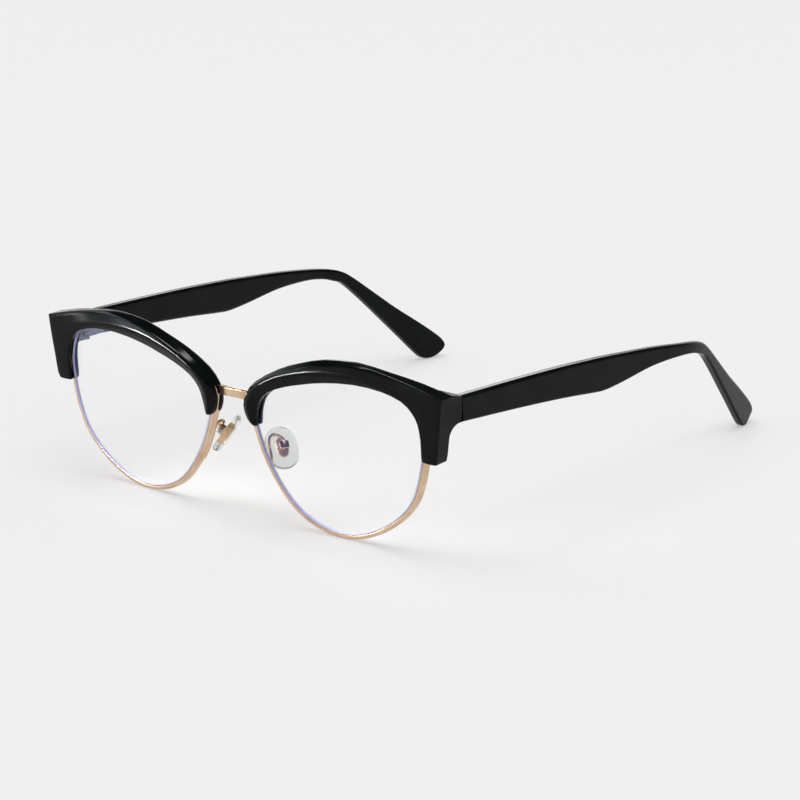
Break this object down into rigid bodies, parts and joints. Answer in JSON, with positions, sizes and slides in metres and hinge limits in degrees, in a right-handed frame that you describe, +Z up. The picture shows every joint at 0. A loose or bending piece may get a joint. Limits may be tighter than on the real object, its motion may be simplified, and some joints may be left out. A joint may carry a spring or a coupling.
{
  "type": "eyeglasses",
  "caption": "Browline eyeglasses with thick upswept acetate brows, full metal eyewires, adjustable nose pads and folding temples with curved tips",
  "frame": {"origin": "middle of the footprint's box, on the surface that the eyewires and temple tips rest on", "axes": "+X towards the wearer's left, +Y from the front to the temple tips, +Z up"},
  "size_m": [0.138, 0.1464, 0.047],
  "materials": {
    "black_acetate": "polished black acetate",
    "rose_gold_metal": "polished rose gold plating",
    "clear_lens": "clear coated lens with a lilac edge",
    "clear_pad": "clear soft silicone",
    "gold_insert": "bright gold plating",
    "steel": "bright nickel silver",
    "core_wire": "drawn wire"
  },
  "bodies": {
    "front": {"bridge": "rose_gold_metal", "brow_left": "black_acetate", "brow_right": "black_acetate", "brow_screw_left": "steel", "brow_screw_right": "steel", "eyewire_left": "rose_gold_metal", "eyewire_right": "rose_gold_metal", "hinge_front_left": "steel", "hinge_front_right": "steel", "hinge_screw_left": "steel", "hinge_screw_right": "steel", "lens_left": "clear_lens", "lens_right": "clear_lens", "pad_arm_left": "rose_gold_metal", "pad_arm_right": "rose_gold_metal", "pad_box_left": "rose_gold_metal", "pad_box_right": "rose_gold_metal", "pad_screw_left": "steel", "pad_screw_right": "steel", "rim_lock_lower_left": "rose_gold_metal", "rim_lock_lower_right": "rose_gold_metal", "rim_lock_screw_left": "steel", "rim_lock_screw_right": "steel", "rim_lock_upper_left": "rose_gold_metal", "rim_lock_upper_right": "rose_gold_metal"},
    "temple_left": {"temple_left": "black_acetate", "temple_core_left": "core_wire", "hinge_temple_left": "steel"},
    "temple_right": {"temple_right": "black_acetate", "temple_core_right": "core_wire", "hinge_temple_right": "steel"},
    "pad_left": {"nose_pad_left": "clear_pad", "pad_insert_left": "gold_insert"},
    "pad_right": {"nose_pad_right": "clear_pad", "pad_insert_right": "gold_insert"}
  },
  "joints": [
    {"name": "temple_fold_left", "type": "hinge", "parent": "front", "child": "temple_left", "pos_m": [0.0633, -0.06032, 0.03705], "axis": [0, 0, 1], "range_deg": [0, 88]},
    {"name": "temple_fold_right", "type": "hinge", "parent": "front", "child": "temple_right", "pos_m": [-0.0633, -0.06032, 0.03705], "axis": [0, 0, -1], "range_deg": [0, 72]},
    {"name": "pad_rock_left", "type": "hinge", "parent": "front", "child": "pad_left", "pos_m": [0.0114, -0.06367, 0.019], "axis": [-0.4384, -0.8988, 0], "range_deg": [-8, 8]},
    {"name": "pad_rock_right", "type": "hinge", "parent": "front", "child": "pad_right", "pos_m": [-0.0114, -0.06367, 0.019], "axis": [-0.4384, 0.8988, 0], "range_deg": [-8, 8]}
  ]
}
